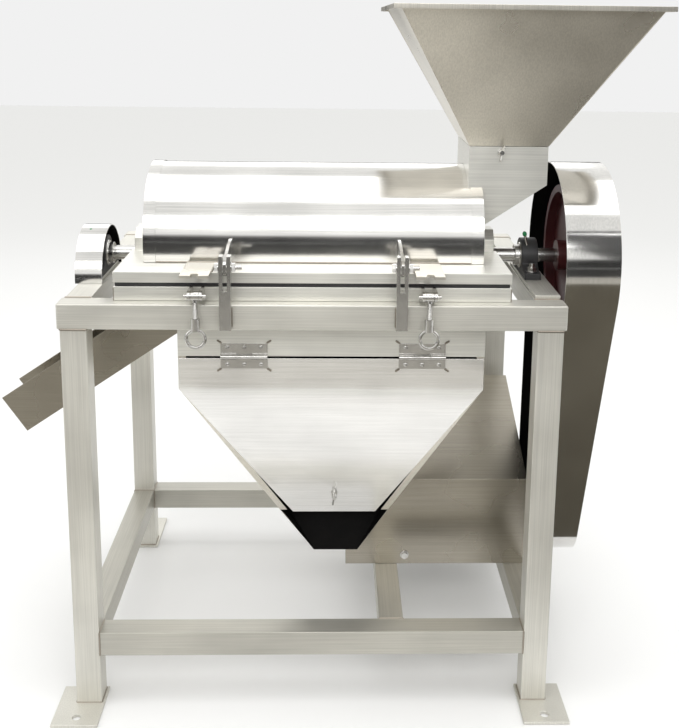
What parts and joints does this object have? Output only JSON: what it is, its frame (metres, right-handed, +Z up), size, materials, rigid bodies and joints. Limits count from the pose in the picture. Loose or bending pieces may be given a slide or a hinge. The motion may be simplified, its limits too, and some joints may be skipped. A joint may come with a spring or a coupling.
{
  "type": "grape crusher destemmer",
  "caption": "Stainless grape crusher destemmer on a tube frame: square feed hopper, hinged drum cover, beater rotor, belt drive, stem chute and a discharge funnel with a hinged door.",
  "frame": {"origin": "middle of the machine's outline in plan, on the floor", "axes": "+X along the drum towards the feed hopper and the belt guard, +Y from the front, with the discharge door, to the back, +Z up"},
  "size_m": [1.3098, 0.888, 1.4013],
  "materials": {
    "frame_steel": "brushed stainless square tube with heat tint at the welds",
    "polished_steel": "polished stainless sheet",
    "satin_steel": "satin stainless sheet",
    "bolt_steel": "machined stainless",
    "cast_black": "black paint",
    "pulley_red": "dark red paint",
    "rubber_black": "plain black",
    "motor_grey": "grey blue paint"
  },
  "bodies": {
    "frame": {"leg_front_left": "frame_steel", "leg_front_right": "frame_steel", "leg_rear_left": "frame_steel", "leg_rear_right": "frame_steel", "rail_front": "frame_steel", "rail_rear": "frame_steel", "rail_left": "frame_steel", "rail_right": "frame_steel", "rail_cross": "frame_steel", "rail_motor": "frame_steel", "stretcher_front": "frame_steel", "stretcher_rear": "frame_steel", "stretcher_left": "frame_steel", "stretcher_right": "frame_steel", "seat_plate_left": "frame_steel", "seat_plate_right": "frame_steel", "motor_plate": "frame_steel", "pillow_block_left": "cast_black", "pillow_block_right": "cast_black", "bearing_cover_left": "polished_steel", "lower_rim": "polished_steel", "gasket_front": "rubber_black", "gasket_rear": "rubber_black", "screen": "satin_steel", "hinge_fork_left": "bolt_steel", "hinge_fork_right": "bolt_steel", "hinge_bolt_left": "bolt_steel", "hinge_bolt_right": "bolt_steel", "clamp_clevis_left": "bolt_steel", "clamp_clevis_right": "bolt_steel", "discharge_skirt": "polished_steel", "discharge_funnel": "satin_steel", "butt_leaf_upper_left": "bolt_steel", "butt_leaf_upper_right": "bolt_steel", "stem_chute": "satin_steel", "drive_belt": "rubber_black", "motor": "motor_grey", "motor_box": "satin_steel", "belt_guard": "polished_steel"},
    "cover": {"cover_shell": "polished_steel", "cover_flange": "polished_steel", "feed_neck": "satin_steel", "cover_arm_left": "bolt_steel", "cover_arm_right": "bolt_steel", "clamp_lug_left": "satin_steel", "clamp_lug_right": "satin_steel"},
    "neck_screw": {"neck_wing_screw": "bolt_steel"},
    "feed_hopper": {"hopper": "satin_steel"},
    "left_swing_bolt": {"swing_bolt_left": "bolt_steel"},
    "right_swing_bolt": {"swing_bolt_right": "bolt_steel"},
    "left_eye_nut": {"eye_nut_left": "bolt_steel"},
    "right_eye_nut": {"eye_nut_right": "bolt_steel"},
    "door": {"discharge_door": "polished_steel", "butt_leaf_lower_left": "bolt_steel", "butt_leaf_lower_right": "bolt_steel"},
    "door_screw": {"door_wing_screw": "bolt_steel"},
    "rotor": {"rotor_shaft": "bolt_steel", "beater_cage": "satin_steel", "rotor_pulley": "pulley_red"},
    "motor_rotor": {"motor_pulley": "pulley_red"}
  },
  "joints": [
    {"name": "cover_hinge", "type": "hinge", "parent": "frame", "child": "cover", "pos_m": [0.00112, -0.382, 0.918], "axis": [1, 0, 0], "range_deg": [0, 80]},
    {"name": "hopper_lift", "type": "slide", "parent": "cover", "child": "feed_hopper", "axis": [0, 0, 1], "range_m": [0, 0.12]},
    {"name": "neck_screw_turn", "type": "hinge", "parent": "cover", "child": "neck_screw", "pos_m": [0.37012, -0.213, 1.117], "axis": [0, -1, 0], "continuous": true},
    {"name": "swing_left", "type": "hinge", "parent": "frame", "child": "left_swing_bolt", "pos_m": [-0.21987, -0.388, 0.864], "axis": [-1, 0, 0], "range_deg": [0, 180]},
    {"name": "swing_right", "type": "hinge", "parent": "frame", "child": "right_swing_bolt", "pos_m": [0.21912, -0.388, 0.864], "axis": [-1, 0, 0], "range_deg": [0, 180]},
    {"name": "eye_nut_left_turn", "type": "hinge", "parent": "left_swing_bolt", "child": "left_eye_nut", "pos_m": [-0.21987, -0.388, 0.781], "axis": [0, 0, 1], "continuous": true},
    {"name": "eye_nut_right_turn", "type": "hinge", "parent": "right_swing_bolt", "child": "right_eye_nut", "pos_m": [0.21912, -0.388, 0.781], "axis": [0, 0, 1], "continuous": true},
    {"name": "door_hinge", "type": "hinge", "parent": "frame", "child": "door", "pos_m": [0.00112, -0.315, 0.722], "axis": [-1, 0, 0], "range_deg": [0, 100]},
    {"name": "door_screw_turn", "type": "hinge", "parent": "door", "child": "door_screw", "pos_m": [0.04312, -0.1939, 0.38088], "axis": [0, -0.9221, -0.387], "continuous": true},
    {"name": "rotor_spin", "type": "hinge", "parent": "frame", "child": "rotor", "pos_m": [0, -0.115, 0.8869], "axis": [1, 0, 0], "continuous": true},
    {"name": "motor_spin", "type": "hinge", "parent": "frame", "child": "motor_rotor", "pos_m": [0.53912, 0.001, 0.258], "axis": [1, 0, 0], "continuous": true}
  ],
  "couplings": [
    {"joint": "motor_spin", "follows": "rotor_spin", "ratio": 3.155}
  ]
}
